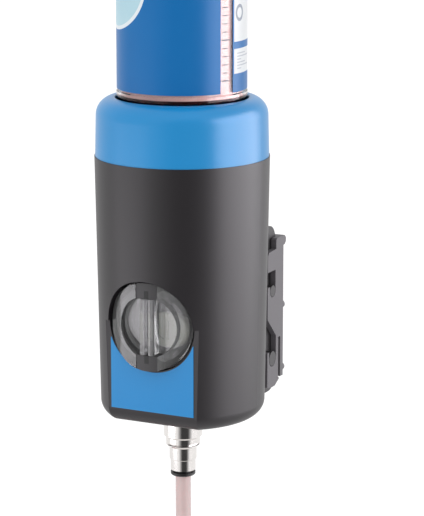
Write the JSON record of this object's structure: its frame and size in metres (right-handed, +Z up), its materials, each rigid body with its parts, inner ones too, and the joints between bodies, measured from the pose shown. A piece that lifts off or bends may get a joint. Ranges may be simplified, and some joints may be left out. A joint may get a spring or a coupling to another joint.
{
  "type": "automatic lubricator",
  "caption": "Electromechanical single-point grease lubricator: screw-in clear cartridge on a dark pump housing with round window cover, wall bracket, push-in outlet and feed tube.",
  "frame": {"origin": "on the wall plane, midway between the bracket's two screw holes", "axes": "+Z up, +Y into the wall, the window faces -Y"},
  "size_m": [0.1358, 0.1071, 0.4893],
  "materials": {
    "housing_dark": "fine satin moulding texture",
    "ring_blue": "satin",
    "label_blue": "printed film",
    "can_label": "printed film",
    "bracket_grey": "satin moulding",
    "dark_grey": "satin",
    "black_plastic": "satin",
    "clear_plastic": "clear",
    "natural_plastic": "translucent",
    "cream_plastic": "satin",
    "grease": "soft, glossy",
    "nickel": "nickel plate",
    "steel": "bright",
    "zinc": "die cast",
    "brass": "machined",
    "rubber": "matte",
    "board_green": "solder mask",
    "cell_wrap": "printed sleeve",
    "tube_clear": "clear tube full of grease"
  },
  "bodies": {
    "wall": {"wall_bracket": "bracket_grey"},
    "housing": {"housing_shell": "housing_dark", "top_ring": "ring_blue", "front_label": "label_blue", "hook_plate": "bracket_grey", "hook_screws": "steel", "pump_deck": "dark_grey", "deck_screws": "steel", "socket_seal": "rubber", "rotary_switch": "black_plastic", "circuit_board": "board_green", "board_screws": "steel", "battery_holder": "black_plastic", "battery_cells": "cell_wrap", "battery_cap": "black_plastic", "gear_plate": "steel", "gear_motor": "steel", "pump_block": "zinc", "check_spring": "steel", "outlet_adapter": "nickel", "push_in_body": "nickel", "tube_seal": "rubber", "grab_ring": "steel", "feed_tube": "tube_clear", "feed_coil": "tube_clear", "feed_tail": "tube_clear", "coil_ties": "black_plastic", "end_fitting": "nickel"},
    "cover": {"window_cover": "clear_plastic", "cover_ring": "dark_grey", "cover_seal": "rubber"},
    "dial": {"selector_dial": "cream_plastic"},
    "drive": {"drive_gear": "steel", "eccentric_shaft": "steel"},
    "pinion": {"motor_pinion": "brass"},
    "plunger": {"plunger": "steel"},
    "valve": {"check_ball": "steel"},
    "release": {"release_ring": "black_plastic"},
    "cartridge": {"cartridge_shell": "clear_plastic", "cartridge_label": "can_label", "cartridge_cap": "natural_plastic", "grease_charge": "grease"},
    "follower": {"follower_piston": "natural_plastic"}
  },
  "joints": [
    {"name": "housing_lift", "type": "slide", "parent": "wall", "child": "housing", "axis": [0, 0, 1], "range_m": [0, 0.0075]},
    {"name": "cover_twist", "type": "hinge", "parent": "housing", "child": "cover", "pos_m": [0, -0.0935, 0.0104], "axis": [0, -1, 0], "range_deg": [0, 60]},
    {"name": "dial_turn", "type": "hinge", "parent": "housing", "child": "dial", "pos_m": [0.0045, -0.087, 0.0069], "axis": [0, -1, 0], "range_deg": [-150, 150]},
    {"name": "cartridge_unscrew", "type": "hinge", "parent": "housing", "child": "cartridge", "pos_m": [0, -0.063, 0.105], "axis": [0, 0, 1], "range_deg": [0, 360]},
    {"name": "follower_slide", "type": "slide", "parent": "cartridge", "child": "follower", "axis": [0, 0, -1], "range_m": [0, 0.12], "deforming": ["grease_charge"]},
    {"name": "drive_spin", "type": "hinge", "parent": "housing", "child": "drive", "pos_m": [0.022, -0.061, 0.046], "axis": [0, 0, 1], "range_deg": [0, 180]},
    {"name": "pinion_spin", "type": "hinge", "parent": "housing", "child": "pinion", "pos_m": [0.022, -0.04213, 0.046], "axis": [0, 0, 1], "range_deg": [-720, 0]},
    {"name": "plunger_stroke", "type": "slide", "parent": "housing", "child": "plunger", "axis": [-1, 0, 0], "range_m": [0, 0.004]},
    {"name": "valve_lift", "type": "slide", "parent": "housing", "child": "valve", "axis": [0, 0, -1], "range_m": [0, 0.001], "stiffness_N_per_m": 100, "springref_m": -0.002, "deforming": ["check_spring"]},
    {"name": "release_push", "type": "slide", "parent": "housing", "child": "release", "axis": [0, 0, 1], "range_m": [0, 0.0012]}
  ],
  "couplings": [
    {"joint": "pinion_spin", "follows": "drive_spin", "ratio": -4},
    {"joint": "plunger_stroke", "follows": "drive_spin", "m_per_rad": 0.0012732}
  ]
}
